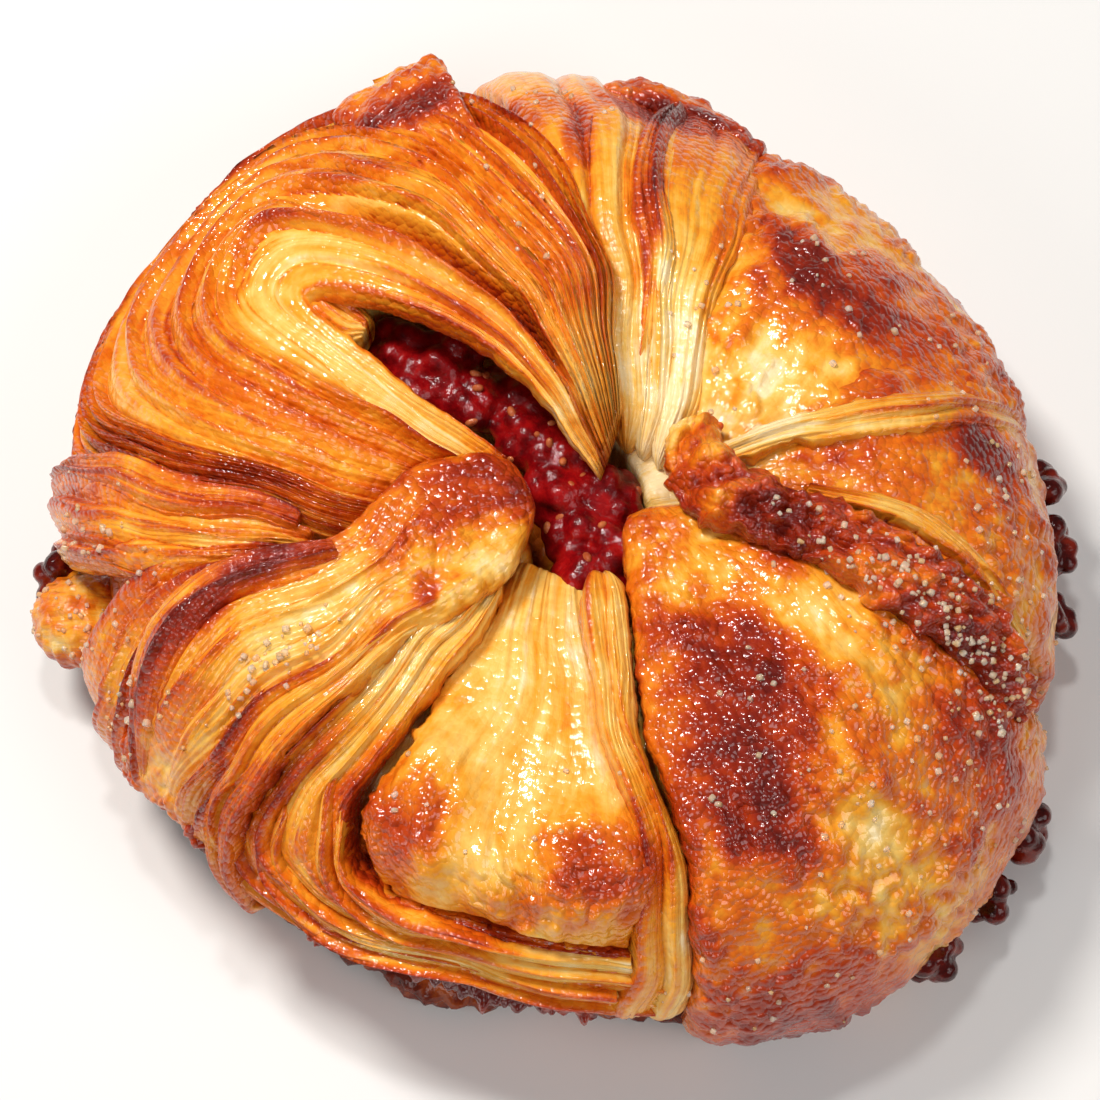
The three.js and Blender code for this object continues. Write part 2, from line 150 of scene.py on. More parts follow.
# ---- The bun's skin ----
SKIN_KNOTS = np.array([
    (0, DOUGH_TOP - 2),
    (0.33 * DOUGH_RADIUS, DOUGH_TOP),
    (0.66 * DOUGH_RADIUS, DOUGH_TOP - 1),
    (0.87 * DOUGH_RADIUS, DOUGH_TOP - 7),
    (DOUGH_RADIUS, DOUGH_TOP - 17),
    (0.965 * DOUGH_RADIUS, DOUGH_FOOT - 1),
])
SKIN_LINE = through(SKIN_KNOTS, np.linspace(0, 1, 600))
SKIN_RUN = np.concatenate([[0], np.cumsum(np.hypot(*np.diff(SKIN_LINE, axis=0).T))])
SKIN_LENGTH = SKIN_RUN[-1]
SKIN_TANGENT = np.gradient(SKIN_LINE, SKIN_RUN, axis=0)
# Swells of the outline: direction in degrees, width in degrees, share of the radius.
OUTLINE_SWELLS = [(-42, 32, 0.075), (-118, 40, -0.075), (112, 60, 0.065)]
# How quickly the swells grow from the middle outwards.
SWELL_GROWTH = 1.4


def outline_share(angle):
    """The outline's radius in each direction, as a share of the dough's radius."""
    total = np.ones_like(angle)
    for direction, width, share in OUTLINE_SWELLS:
        away = angle - math.radians(direction)
        turned = np.arctan2(np.sin(away), np.cos(away))
        total += share * np.exp(-((turned / math.radians(width)) ** 2))
    return total


def on_skin(x, y, lift):
    """Points over the skin, at the flat point's distance along it from the middle."""
    angle = np.arctan2(y, x)
    run = np.clip(np.hypot(x, y), 0, SKIN_LENGTH)
    radius, height = (np.interp(run, SKIN_RUN, SKIN_LINE[:, k]) for k in (0, 1))
    out, up = (np.interp(run, SKIN_RUN, SKIN_TANGENT[:, k]) for k in (0, 1))
    radius = np.maximum(0, radius - up * lift)
    swell = np.minimum(1, run / SKIN_LENGTH * SWELL_GROWTH)
    radius *= lerp(1, outline_share(angle), swell)
    points = np.stack([radius * np.cos(angle), radius * np.sin(angle), height + out * lift])
    return np.moveaxis(points, 0, -1)


# ---- Meshes ----
def face_out(data):
    """Turn a closed mesh's faces outwards."""
    shape = bmesh.new()
    shape.from_mesh(data)
    if shape.calc_volume(signed=True) < 0:
        data.flip_normals()
    shape.free()


def mesh(name, points, faces, material, slot, replaced, **attributes):
    """A piece from points in millimetres, with its attributes, riding the frame."""
    points = np.asarray(points, float).reshape(-1, 3)
    placed = points * MM + (*BUN_AXIS, 0)
    data = bpy.data.meshes.new(name)
    data.from_pydata(placed.tolist(), [], [tuple(face) for face in faces])
    face_out(data)
    for key, values in attributes.items():
        values = np.asarray(values, np.float32)
        kind, field = ("FLOAT", "value") if values.ndim == 1 else ("FLOAT_VECTOR", "vector")
        layer = data.attributes.new(key, kind, "POINT")
        layer.data.foreach_set(field, values.ravel())
    data.polygons.foreach_set("use_smooth", [True] * len(data.polygons))
    data.materials.append(material)
    data.update()
    piece = bpy.data.objects.new(name, data)
    bpy.context.collection.objects.link(piece)
    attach(piece, "root")
    if replaced:
        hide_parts(replaced)
    return piece


def grain_of(along, across, seed=0):
    """The grain attribute: millimetres along and across the dough's strands."""
    along, across = np.broadcast_arrays(along, across)
    return np.stack([along, across, 0 * along + seed], -1).reshape(-1, 3)


def grid_faces(rows, columns, wrap):
    """Quads of a grid of points, closed round its columns if wrap is true."""
    index = np.arange(rows * columns).reshape(rows, columns)
    if wrap:
        index = np.concatenate([index, index[:, :1]], axis=1)
    corners = [index[:-1, :-1], index[:-1, 1:], index[1:, 1:], index[1:, :-1]]
    return np.stack([c.ravel() for c in corners], axis=1).tolist()


# ---- Materials ----
def linear(*rgb):
    """A colour given as 0 to 255 screen values."""
    share = [value / 255 for value in rgb]
    return [s / 12.92 if s <= 0.04045 else ((s + 0.055) / 1.055) ** 2.4 for s in share] + [1.0]


def new_material(name):
    """A material, its nodes and its Principled shader."""
    made = bpy.data.materials.new(name)
    made.use_nodes = True
    nodes = made.node_tree.nodes
    return made, nodes, nodes["Principled BSDF"]


def fill_in(node, inputs):
    """Constants or links for a node's inputs."""
    for key, value in inputs.items():
        if isinstance(value, bpy.types.NodeSocket):
            node.id_data.links.new(value, node.inputs[key])
        else:
            node.inputs[key].default_value = value


def add(nodes, kind, inputs, output=0, **settings):
    """An output of a new shader node."""
    node = nodes.new("ShaderNode" + kind)
    for key, value in settings.items():
        setattr(node, key, value)
    fill_in(node, inputs)
    return node.outputs[output]


def mottling(nodes, where, scale, detail=2.0, roughness=0.5):
    inputs = {"Vector": where, "Scale": scale, "Detail": detail, "Roughness": roughness}
    return add(nodes, "TexNoise", inputs)


def bump(nodes, height, strength, distance):
    inputs = {"Height": height, "Strength": strength, "Distance": distance}
    return add(nodes, "Bump", inputs)


def math_node(nodes, operation, *values, clamp=False):
    inputs = dict(enumerate(values))
    return add(nodes, "Math", inputs, operation=operation, use_clamp=clamp)


def ramp(nodes, fac, stops):
    """A colour that runs through stops of (position, colour)."""
    node = nodes.new("ShaderNodeValToRGB")
    fill_in(node, {"Fac": fac})
    elements = node.color_ramp.elements
    while len(elements) < len(stops):
        elements.new(0.5)
    for element, (position, colour) in zip(elements, stops):
        element.position = position
        element.color = colour
    return node.outputs["Color"]


# The dough's colour from unbaked, 0, to burnt, 1.
BAKE_COLOURS = [
    (0.00, linear(243, 218, 166)),
    (0.13, linear(238, 192, 98)),
    (0.30, linear(234, 156, 40)),
    (0.46, linear(218, 108, 15)),
    (0.64, linear(186, 63, 9)),
    (0.82, linear(144, 35, 8)),
    (1.00, linear(102, 19, 8)),
]


def glazed_dough():
    """Streaked, mottled dough, as dark as its bake attribute says, under a clear glaze."""
    made, nodes, shader = new_material("glazed dough")
    where = add(nodes, "TexCoord", {}, "Object")
    grain = add(nodes, "Attribute", {}, "Vector", attribute_name="grain")
    # The bake attribute is browning, with painted shade added in the strands' grooves and the swirl's
    # gap.
    bake = add(nodes, "Attribute", {}, "Fac", attribute_name="bake")
    fibres = add(nodes, "Mapping", {"Vector": grain, "Scale": (0.14, 1.9, 1)})
    streaks = mottling(nodes, fibres, 1.0, 4.0, 0.62)
    mottle = mottling(nodes, where, 330.0, 4.0, 0.62)
    streaky = math_node(nodes, "MULTIPLY_ADD", streaks, 0.4, -0.2)
    patchy = math_node(nodes, "MULTIPLY_ADD", mottle, 0.5, -0.22)
    tone = math_node(nodes, "ADD", streaky, bake)
    tone = math_node(nodes, "ADD", tone, patchy, clamp=True)
    satin, dull = (0.22, 0.22, 0.22, 1), (0.45, 0.45, 0.45, 1)
    # Small blisters are domes with dips between them, deepest where the dough is brown.
    drops = add(nodes, "TexVoronoi", {"Vector": where, "Scale": 1250.0})
    browner = add(nodes, "MapRange", {
        "Value": bake, "From Min": 0.25, "From Max": 0.6, "To Min": 0.25, "To Max": 1.0,
    })
    dips = math_node(nodes, "MULTIPLY", math_node(nodes, "MULTIPLY", drops, drops), browner)
    height = math_node(nodes, "SUBTRACT", math_node(nodes, "MULTIPLY", streaks, 0.6), dips)
    skin = bump(nodes, height, 0.6, 0.0006)
    fill_in(shader, {
        "Base Color": ramp(nodes, tone, BAKE_COLOURS),
        "Roughness": ramp(nodes, mottle, [(0.3, satin), (0.7, dull)]),
        "Specular IOR Level": 0.12,
        "Normal": skin,
        "Coat Weight": 0.75,
        "Coat Roughness": 0.06,
        "Coat IOR": 1.54,
        "Coat Normal": skin,
    })
    return made


def wet(name, colours, scale, roughness, coat):
    """A glossy lumpy stuff whose colour wanders between a few."""
    made, nodes, shader = new_material(name)
    where = add(nodes, "TexCoord", {}, "Object")
    mottle = mottling(nodes, where, scale, 5.0, 0.6)
    steps = np.linspace(0.32, 0.68, len(colours))
    skin = bump(nodes, mottling(nodes, where, 4 * scale, 3.0), 0.3, 0.0004)
    fill_in(shader, {
        "Base Color": ramp(nodes, mottle, list(zip(steps, colours))),
        "Roughness": roughness,
        "Specular IOR Level": 0.12,
        "Normal": skin,
        "Coat Weight": coat,
        "Coat Roughness": 0.04,
        "Coat IOR": 1.38,
        "Coat Normal": skin,
    })
    return made


def sugar_glass():
    """Clouded, slightly golden crystal."""
    made, nodes, shader = new_material("sugar")
    where = add(nodes, "TexCoord", {}, "Object")
    tints = [(0.35, linear(255, 214, 150)), (0.65, linear(255, 244, 224))]
    fill_in(shader, {
        "Base Color": ramp(nodes, mottling(nodes, where, 700.0), tints),
        "Roughness": 0.1,
        "IOR": 1.3,
        "Transmission Weight": 0.6,
    })
    return made


DOUGH = glazed_dough()
JAM = wet(
    "raspberry", [linear(72, 3, 6), linear(122, 5, 10), linear(160, 16, 15)], 500.0,
    roughness=0.3, coat=0.6,
)
SEED = wet(
    "raspberry seed", [linear(150, 60, 30), linear(196, 110, 62)], 900.0,
    roughness=0.3, coat=0.6,
)
BURNT = wet(
    "burnt jam", [linear(36, 4, 3), linear(84, 14, 9), linear(128, 34, 16)], 420.0,
    roughness=0.12, coat=0.7,
)
CARAMEL = wet(
    "burnt caramel", [linear(52, 10, 4), linear(112, 34, 8), linear(170, 78, 20)], 330.0,
    roughness=0.25, coat=0.6,
)
SUGAR = sugar_glass()


# ---- Layered relief ----
def page_borders(count, seed, uneven):
    """The borders, from 0 to 1, between pages of uneven width."""
    widths = np.random.default_rng(seed).uniform(1 - uneven, 1 + uneven, count)
    return np.concatenate([[0], np.cumsum(widths)]) / widths.sum()


def pages(u, v, count, seed, uneven, stations):
    """For pages lying side by side across v, each point's page and its place, from
    0 to 1, across that page. Their borders wander as u grows."""
    sets = [page_borders(count, seed + 10 * k, uneven) for k in range(stations)]
    across = np.empty(np.broadcast_shapes(u.shape, v.shape))
    for row, t in enumerate(u[:, 0]):
        span = min(stations - 2, int(t * (stations - 1)))
        f = smooth(0, 1, t * (stations - 1) - span)
        borders = lerp(sets[span], sets[span + 1], f)
        across[row] = np.interp(v[0], borders, np.arange(count + 1))
    page = np.minimum(np.floor(across), count - 1)
    return page, across - page


def shingle(share, crest):
    """Height from 0 to 1 that climbs steeply to a crest and falls gently after it."""
    climb = smooth(0, crest, share)
    fall = 1 - np.clip((share - crest) / (1 - crest), 0, 1) ** 1.4
    return climb * lerp(0.12, 1, fall)


def strands(u, v, width, seed, bake, bundle=3.6, page=0.7, depth=1.5, crest=0.24):
    """Relief and browning of sheets of dough that lie edge up, in bundles whose crests
    overhang the bundle before them. The groove at the foot of each bundle is darkened
    with painted shade."""
    bundles = max(2, round(width / bundle))
    sheets = max(4, round(width / page))
    big, big_share = pages(u, v, bundles, seed, uneven=0.5, stations=5)
    small, small_share = pages(u, v, sheets, seed + 100, uneven=0.85, stations=6)
    big_high = noise(3.2 * u + big * 7.3, big * 3.1, seed)
    calm = smooth(0.58, 0.75, noise(1.6 * u + big * 4.7, big * 1.3, seed + 7))
    small_high = smooth(0.35, 0.85, noise(5 * u + small * 5.7, small * 2.3, seed + 1))
    small_high = small_high * (1 - 0.7 * calm)
    patch = smooth(0.35, 0.7, noise(5 * u + 9, 0.3 * width * v, seed + 2))
    hump = shingle(big_share, crest)
    cliff = np.exp(-((big_share / crest - 0.5) ** 2) * 2.5)
    sheet = shingle(small_share, 0.35)
    fine = 0.2 * (1 - 0.5 * calm) + 0.46 * small_high * lerp(patch, 1, cliff)
    height = depth * (0.3 + 0.9 * big_high) * hump + fine * sheet
    crest_line = np.exp(-(((big_share - crest) / 0.13) ** 2))
    lip = np.exp(-(((small_share - 0.35) / 0.16) ** 2)) * small_high
    browned = (
        bake
        + 0.34 * (big_high - 0.5)
        + 0.26 * crest_line * (0.4 + big_high)
        + 0.22 * lip
        + 0.06 * calm * (0.5 + big_high)
        - 0.16 * cliff
        # Painted shade: darker in the groove at the foot of each bundle.
        + 0.22 * np.exp(-((big_share / 0.08) ** 2))
        + 0.14 * (noise(2.5 * u, small * 0.37, seed + 3) - 0.5)
    )
    return height, browned


def wrinkles(u, v, width, length, seed, bake):
    """Relief and browning of soft dough wrinkled lengthwise."""
    bend = 0.9 * fractal(u * 3, v * 2, seed + 4, 2)
    long = fractal(v * width / 2.6 + bend * 2, u * length / 26 + bend, seed, 3)
    fine = fractal(v * width / 0.9 + bend * 6, u * length / 14, seed + 1, 2)
    creases = np.abs(2 * long - 1) ** 0.8
    return 1.5 * creases + 0.3 * fine, bake + 0.25 * (0.5 - creases) + 0.1 * (fine - 0.5)


def leafy(x, y, seed, bake, bumps=0.8, blister=0.5):
    """Relief and browning of one broad leaf, blistered where it is brown."""
    broad = fractal(x / 8, y / 8, seed, 3)
    fine = fractal(x / 1.6, y / 1.6, seed + 5, 4)
    crust = smooth(0.4, 0.65, fractal(x / 6, y / 6, seed + 9, 3))
    wide = domes(x, y, 2.6, seed)
    small = domes(x, y, 1.05, seed + 3)
    height = bumps * 2.4 * (broad - 0.5) + 0.6 * (fine - 0.5)
    height += (0.25 + 0.75 * crust) * (blister * wide + 0.42 * small)
    browned = bake + 0.55 * (broad - 0.5) + 0.4 * (fine - 0.5) + 0.14 * crust - 0.07
    return height, browned - 0.08 * small * crust


def crusty(x, y, seed, bake):
    """Relief and browning of a burnt, crumbly ridge."""
    crumbs = domes(x, y, 1.5, seed, 0.7)
    grit = fractal(x / 0.9, y / 0.9, seed + 2, 3)
    folded = np.abs(2 * fractal(x / 4, y / 4, seed + 4, 3) - 1)
    height = 2.4 * folded + 1.1 * crumbs + 0.8 * (grit - 0.5) - 0.8
    return height, bake + 0.5 * (0.4 - folded) + 0.3 * (grit - 0.5)


# Each is (x, y, size, height).
TONGUE_BUMPS = [(-13.5, -31.5, 6.5, 2.6), (3.6, -35, 5.5, 3), (-4, -37, 5, 1)]
TONGUE_WIDTH = 15
TONGUE_LENGTH = 40


def tongue(u, v, x, y, seed, bake):
    """Relief and browning of the pale wrinkled tongue with its browned bumps."""
    height, browned = wrinkles(u, v, TONGUE_WIDTH, TONGUE_LENGTH, seed, bake)
    height = height * lerp(0.4, 0.9, smooth(0.45, 0.9, u))
    rough, _ = leafy(x, y, seed, bake, blister=0.8)
    for px, py, size, high in TONGUE_BUMPS:
        near = np.exp(-(((x - px) ** 2 + (y - py) ** 2) / size**2) ** 1.3)
        height = height + near * (high + rough)
    return height, browned


def lobed(u, v, x, y, width, seed, bake):
    """Relief and browning, with the strands' painted shade in their grooves, of a leaf whose smooth end
    frays into strands.
    """
    smooth_high, smooth_brown = leafy(x, y, seed, bake, bumps=0.7, blister=0.35)
    high, browned = strands(u, v, width, seed, bake)
    frayed = smooth(0.18, 0.48, u + 0.25 * (noise(v * 7, 0 * v, seed) - 0.5))
    frayed = frayed * (1 - smooth(0.7, 0.85, u - 0.12 * smooth(0.4, 0.65, v)))
    return lerp(smooth_high, high, frayed), lerp(smooth_brown - 0.05, browned - 0.05, frayed)


# ---- Browned and pale places ----
# Each is (x, y, half length, half width, direction in degrees, how much browner).
# A place shows no browner than MOST_BROWNING, however many overlap there.
MOST_BROWNING = 0.46
PLACES = [
    # Top flap, pleats and their rolls.
    (-15.5, 44, 5.5, 2.4, 15, 0.4), (-2, 44, 5, 3.5, 0, 0.22), (8, 46, 5, 2.5, 0, 0.2),
    (3, 40, 4, 1.8, 85, 0.36), (13, 46, 8, 3, -15, 0.4), (10, 33, 9, 1.6, 85, 0.28),
    # Upper right leaf, right leaf and ridge.
    (22.5, 30, 4, 2.2, -60, 0.34), (26, 24.5, 5, 2.4, -45, 0.4), (33, 19, 6, 3.4, -35, 0.42),
    (34, 24, 9, 9, -40, 0.2), (42, 7.6, 4.5, 3, -20, 0.46), (20.5, -3, 6, 4, -50, 0.3),
    # Lower right leaf.
    (16.5, -17.5, 6, 5, -60, 0.42), (18, -22, 13, 8, -75, 0.24), (14.5, -27, 5, 5, -70, 0.22),
    (19.5, -31, 5.5, 4.5, -30, 0.35), (39, -19, 8, 5, -50, 0.32), (40, -29, 7, 5, -50, 0.22),
    (24, -47, 12, 4, 15, 0.3), (9, -1.5, 4, 3, -60, 0.18),
    # Long leaf's head and curl.
    (-5.5, 1, 6, 4.2, 35, 0.32), (-11, -3.5, 7, 3.4, 25, 0.16), (-2.4, -1, 4.5, 1.8, 85, 0.32),
    (-14, 1, 9, 1.6, 15, 0.2), (-11.5, -9.5, 2.2, 1, 40, 0.4), (-26.5, -6.8, 5.5, 2, 15, 0.42),
    (-34, -11.6, 6, 2, 38, 0.36), (-40, -17.5, 5, 2, 55, 0.25),
    # Small leaf, and the layers and bumps of the tongue.
    (-29, 2.5, 7, 1.8, -12, 0.3), (-45, 8, 6, 2.4, -25, 0.15), (-31, -23, 5, 1, 55, 0.35),
    (-24, -26, 7, 1.2, 40, 0.25), (-14, -31.5, 6, 5.5, 30, 0.5), (4, -35.5, 5, 5.5, 60, 0.55),
    (-5, -39, 5, 2, 0, 0.25),
    # Right leaf's edge, and swirl.
    (27, 3.5, 5, 2.5, 10, 0.16), (-30, 24.5, 5, 1.2, 70, 0.2), (18.5, 22, 7, 4.5, 70, 0.14),
    (-22, 34, 9, 2, 20, 0.2),
    # Pale creases and hollows.
    (11.5, 18, 16, 2.6, 82, -0.28), (17.5, 13, 9, 7, 80, -0.3), (3.5, 12, 9, 5, 60, -0.24),
    (9.5, 7.6, 4, 2.5, 80, -0.2), (37, 15.5, 6, 3, -10, -0.12), (24, 13, 7, 4, 30, -0.1),
    (26, -13, 9, 3.5, -40, -0.22), (28, -30, 9, 4, -65, -0.16), (12, -11, 3, 3, 0, -0.16),
    (-24, -13, 8, 3, 30, -0.22), (-15, -15, 10, 3.5, 50, -0.1), (-12.5, 9, 6, 2, -40, -0.1),
]


def ellipse(dx, dy, length, width, direction):
    """0 at the middle of a turned ellipse, 1 on its outline, growing as a square."""
    turn = math.radians(direction)
    along = dx * math.cos(turn) + dy * math.sin(turn)
    aside = dy * math.cos(turn) - dx * math.sin(turn)
    return (along / length) ** 2 + (aside / width) ** 2


def place_browning(points):
    """How much browner each point is for the places it lies in."""
    x, y = points[..., 0], points[..., 1]
    x = x + 3.5 * (fractal(x / 4, y / 4, 31, 3) - 0.5)
    y = y + 3.5 * (fractal(x / 4, y / 4, 32, 3) - 0.5)
    total = np.zeros(x.shape)
    for px, py, length, width, direction, browner in PLACES:
        far = ellipse(x - px, y - py, length, width, direction)
        total += browner * np.exp(-(far**1.5))
    return np.minimum(total, MOST_BROWNING)


# ---- Folds ----
# How much browner folds are near the foot, how far their height wavers, and how low
# they reach.
RIM_BROWNING = 0.04
FOLD_WAVER = 0.5
FOLD_FOOT = DOUGH_FOOT - 1.2
# How many columns of points lie under a fold, and how square its two ends are cut.
UNDER_POINTS = 11
END_BLUNTNESS = 14


def fan(root, rim, bow, lift, reach=SKIN_LENGTH):
    """Strands from the line between two root points out to between two directions.
    For each of the fan's two sides, bow is how far it bends aside and lift is its lift
    at the root, the middle and the rim."""
    def place(u, v):
        start = [lerp(root[0][k], root[1][k], v) for k in (0, 1)]
        end = polar(lerp(rim[0], rim[1], v), reach)
        bend = lerp(bow[0], bow[1], v)
        run = [end[k] - start[k] for k in (0, 1)]
        length = np.hypot(*run)
        side = 4 * u * (1 - u) * bend
        knots = [lerp(lift[0][k], lift[1][k], v[0]) for k in range(3)]
        height = through(knots, u[:, 0])
        x = start[0] + run[0] * u - run[1] / length * side
        y = start[1] + run[1] * u + run[0] / length * side
        return x, y, height
    return place


def ribbon(first, last):
    """Strands that lie between two lines of (x, y, lift)."""
    def place(u, v):
        start, end = through(first, u[:, 0]), through(last, u[:, 0])
        return [lerp(start[:, k:k + 1], end[:, k:k + 1], v) for k in range(3)]
    return place


# The swirl's strands run down the upper leg, round the bend and up the lower leg. Each
# leg's knots are (x, y) for the innermost strand and its step outwards per millimetre.
SWIRL_BEND = (-23, 19.5)
SWIRL_TURNS = (95, 135, 172, 208)
SWIRL_UPPER_LEG = [((5, 3), (0.03, 0.14)), ((-3, 11.4), (0.2, 0.32)), ((-13, 16.4), (0.13, 0.65))]
SWIRL_LOWER_LEG = [((-14.8, 11.2), (-0.8, -0.27)), ((-4.2, 5.6), (-0.5, -0.28))]
# The lift at each knot, and how much higher the innermost strand lies.
SWIRL_LIFT = (1, 3, 3, 2.5, 1, 0.5, 1.5, 1, -1)
SWIRL_INNER_LIFT = 1.5
# How far from the bend the innermost and outermost strands lie.
SWIRL_REACH = (0.4, 45)
# The strands are evenly spread up to here, and this much closer together past it.
SWIRL_EVEN = 22
SWIRL_CROWDING = 0.42
# How far out a browned crest lies, and a deep gap darkened with painted shade.
SWIRL_CREST = 8.6
SWIRL_GAP = 11
SWIRL_WIDTH = 44


def swirl():
    """Strands nested like hairpins round one bend, crowded where they pass the rim."""
    def place(u, v):
        distance = lerp(*SWIRL_REACH, v[0])
        crowded = np.minimum(distance, SWIRL_EVEN)
        crowded = crowded + SWIRL_CROWDING * (distance - crowded)
        knots = [(x + dx * distance, y + dy * distance) for (x, y), (dx, dy) in SWIRL_UPPER_LEG]
        for direction in SWIRL_TURNS:
            x, y = polar(direction, crowded)
            knots.append((x + SWIRL_BEND[0], y + SWIRL_BEND[1]))
        knots += [(x + dx * crowded, y + dy * crowded) for (x, y), (dx, dy) in SWIRL_LOWER_LEG]
        lifts = [lift + SWIRL_INNER_LIFT * (1 - v[0]) for lift in SWIRL_LIFT]
        knots = np.array([[x, y, lift] for (x, y), lift in zip(knots, lifts)])
        line = rounded(np.moveaxis(knots, 1, 2), len(u))
        return line[..., 0], line[..., 1], line[..., 2]
    return place


def swirl_relief(u, v, seed):
    """Strands with a browned crest round the innermost sheets and past it a deep gap, darkened with
    painted shade.
    """
    height, browned = strands(u, v, SWIRL_WIDTH, seed, 0.33, bundle=2.9, page=0.62, depth=1.9)
    distance = lerp(*SWIRL_REACH, v)
    crest = np.exp(-(((distance - SWIRL_CREST) / 0.9) ** 2))
    leg = smooth(0.04, 0.12, u) * smooth(0.46, 0.3, u)
    shaded_gap = np.exp(-(((distance - SWIRL_GAP) / 1.4) ** 2)) * leg
    inner = smooth(SWIRL_CREST - 0.1, SWIRL_CREST - 1.6, distance)
    height = height * (1 - 0.35 * inner) + 1.2 * crest * (1 - shaded_gap) - 4.5 * shaded_gap
    # The gap is darkened with painted shade; the crest's browning and the paler inner sheets are the
    # dough's own.
    return height, browned + 0.2 * crest + 0.35 * shaded_gap - 0.12 * inner


def wrap(start, end, inner, outer, lift):
    """Strands that run along the rim between two directions."""
    def place(u, v):
        distance = lerp(lerp(inner[0], inner[1], u), lerp(outer[0], outer[1], u), v)
        x, y = polar(lerp(start, end, u), distance)
        return x, y, lerp(lift[0], lift[1], u) + 0 * v
    return place


def roll(line, width):
    """A round fold along a line of (x, y, lift), widest in the middle."""
    def place(u, v):
        here = through(line, u[:, 0])
        run = np.gradient(here[:, :2], axis=0)
        run /= np.hypot(run[:, :1], run[:, 1:])
        aside = (v - 0.5) * width * (0.45 + 0.55 * np.sin(math.pi * u) ** 0.7)
        x = here[:, :1] - run[:, 1:] * aside
        y = here[:, 1:2] + run[:, :1] * aside
        return x, y, here[:, 2:] + 0 * v
    return place


def wandered(x, y, size=11, reach=1.6):
    """Flat points moved a little, so that nothing given runs quite straight."""
    dx = reach * 2 * (fractal(x / size, y / size, 71, 2) - 0.5)
    dy = reach * 2 * (fractal(x / size, y / size, 72, 2) - 0.5)
    return x + dx, y + dy


def slab_grid(rows, columns):
    """u down the rows and v round a slab, and 1 on its top side or -1 on its under side.
    Points crowd where the slab turns over, and the under side has few."""
    even = np.linspace(0, 1, columns)
    over = lerp(even, 0.5 - 0.5 * np.cos(math.pi * even), 0.35)
    under = 0.5 + 0.5 * np.cos(math.pi * np.arange(1, UNDER_POINTS + 1) / (UNDER_POINTS + 1))
    v = np.concatenate([over, under])[None, :]
    top = np.concatenate([np.ones(columns), -np.ones(UNDER_POINTS)])[None, :]
    down = np.linspace(0, 1, rows)[:, None]
    return lerp(down, 0.5 - 0.5 * np.cos(math.pi * down), 0.4), v, top


def fold(name, place, relief, thick, size, edge=3, tip=0, tail=0, ragged=0.5, seed=1):
    """A closed slab round place(u, v), with relief(u, v, x, y) on its top side.

    size is its rows and columns of points, and a higher edge makes its sides blunter.
    tip and tail are the shares of its length over which its two ends are rounded."""
    rows, columns = size
    u, v, top = slab_grid(rows, columns)
    x, y, lift = (a + 0 * (u + v) for a in place(u, v))
    round_v = np.maximum(0, 1 - np.abs(2 * v - 1) ** edge) ** (1 / edge)
    round_u = np.maximum(0, 1 - np.abs(2 * u - 1) ** END_BLUNTNESS) ** (1 / END_BLUNTNESS)
    for left, share in ((u, tip), (1 - u, tail)):
        if share:
            taper = np.sqrt(np.maximum(0, 1 - np.clip(1 - left / share, 0, 1) ** 2))
            middle = columns // 2
            x, y = (lerp(a[:, middle:middle + 1], a, taper) for a in (x, y))
            round_u = round_u * taper**0.6
    height, browned = relief(u, v, x, y)
    x, y = wandered(x, y)
    edging = 1 - smooth(0.1, 0.85, round_v)
    x, y = (
        a + ragged * edging * 2 * (fractal(x / 1.3, y / 1.3, seed + k, 3) - 0.5)
        for k, a in enumerate((x, y))
    )
    fade = smooth(0, 0.5, round_v) * round_u
    lift = lift + FOLD_WAVER * 2 * (fractal(x / 14, y / 14, seed, 2) - 0.5)
    lift = lift + top * thick * round_v * round_u + (top > 0) * height * fade
    points = on_skin(x, y, lift)
    points[..., 2] = np.maximum(points[..., 2], FOLD_FOOT)
    low = smooth(0.62, 0.3, points[..., 2] / DOUGH_TOP)
    browned = browned + 0.12 * ragged * edging
    browned = browned + place_browning(points) + RIM_BROWNING * low
    length = np.hypot(*(np.diff(a, axis=0).sum(axis=0).mean() for a in (x, y)))
    width = np.hypot(x[:, -1] - x[:, 0], y[:, -1] - y[:, 0]).mean()
    grain = grain_of(u * max(length, 30), v * max(width, 6), seed)
    count = columns + UNDER_POINTS
    faces = grid_faces(rows, count, True)
    faces.append(list(range(count))[::-1])
    faces.append(list(range((rows - 1) * count, rows * count)))
    return mesh(
        name, points, faces, DOUGH, "baked_dough", "dough",
        bake=np.clip(browned, 0, 0.95).ravel(), grain=grain,
    )


